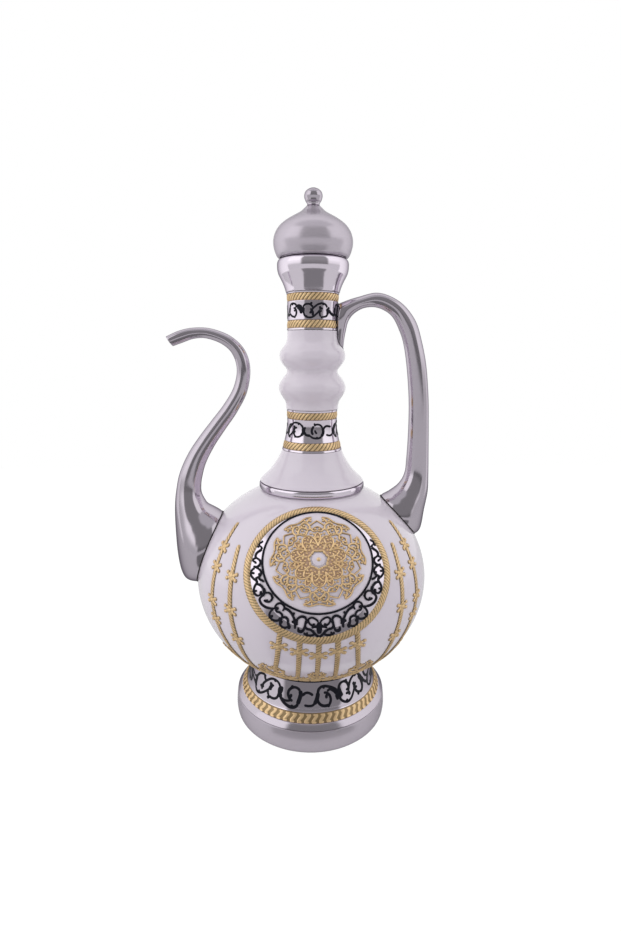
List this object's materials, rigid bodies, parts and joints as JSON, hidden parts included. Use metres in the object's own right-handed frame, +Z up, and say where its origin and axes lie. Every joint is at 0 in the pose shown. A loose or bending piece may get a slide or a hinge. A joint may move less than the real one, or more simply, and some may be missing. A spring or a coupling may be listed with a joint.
{
  "type": "ibrik",
  "caption": "Lidded ewer with a white globe body, stacked banded neck, long curved spout, loop handle and a round flared foot.",
  "frame": {"origin": "centre of the foot's underside, on the surface the ewer stands on", "axes": "+Z up along the globe, neck and lid; +X towards the handle, so the spout points along -X; the front medallion faces -Y"},
  "size_m": [0.1951, 0.1822, 0.4],
  "materials": {
    "chrome": "polished, with a slight lavender tint",
    "satin_metal": "satin silver grey",
    "white_glaze": "glossy pearl white with a faint lavender tint",
    "gold": "satin pale gold",
    "black_enamel": "glossy black scrollwork on the bands, the crescent and the foot",
    "steel": "plain zinc-plated",
    "rubber": "matte dark brown",
    "silicone": "matte off-white",
    "felt": "dark grey felt"
  },
  "bodies": {
    "ewer": {"foot_felt_pad": "felt", "foot_plate": "steel", "foot_ring": "satin_metal", "foot_key_band": "gold", "foot_flare": "chrome", "foot_gasket": "rubber", "foot_bolt": "steel", "foot_washer": "steel", "foot_nut": "steel", "globe_shell": "white_glaze", "shoulder_gasket": "rubber", "shoulder_rim": "chrome", "shoulder_skirt": "white_glaze", "lower_band": "chrome", "lower_band_rope_bottom": "gold", "lower_band_rope_top": "gold", "neck_bulbs": "white_glaze", "upper_band": "chrome", "upper_band_rope_bottom": "gold", "upper_band_rope_top": "gold", "mouth_collar": "chrome", "neck_liner": "steel", "neck_clamp_ring": "steel", "neck_lock_nut": "steel", "spout_root": "chrome", "spout_tube": "chrome", "spout_gasket": "rubber", "spout_lock_nut": "steel", "handle": "chrome", "handle_gasket": "rubber", "handle_washer": "steel", "handle_nut": "steel", "handle_stud": "steel", "handle_saddle_pin": "steel", "lace_ring": "gold", "front_medallion_plate": "chrome", "front_medallion_rope": "gold", "front_medallion_disc": "white_glaze", "front_rosette": "gold", "front_reed_inner_left": "gold", "front_reed_inner_right": "gold", "front_reed_outer_left": "gold", "front_reed_outer_right": "gold", "back_medallion_plate": "chrome", "back_medallion_rope": "gold", "back_medallion_disc": "white_glaze", "back_rosette": "gold", "back_reed_inner_left": "gold", "back_reed_inner_right": "gold", "back_reed_outer_left": "gold", "back_reed_outer_right": "gold"},
    "lid_seal": {"lid_seal_ring": "silicone"},
    "lid": {"lid_dome": "satin_metal", "lid_plug": "chrome", "lid_finial": "chrome", "lid_nut": "steel"}
  },
  "joints": [
    {"name": "lid_lift", "type": "slide", "parent": "ewer", "child": "lid_seal", "axis": [0, 0, 1], "range_m": [0, 0.07]},
    {"name": "lid_turn", "type": "hinge", "parent": "lid_seal", "child": "lid", "pos_m": [0, 0, 0.36], "axis": [0, 0, 1], "continuous": true}
  ]
}
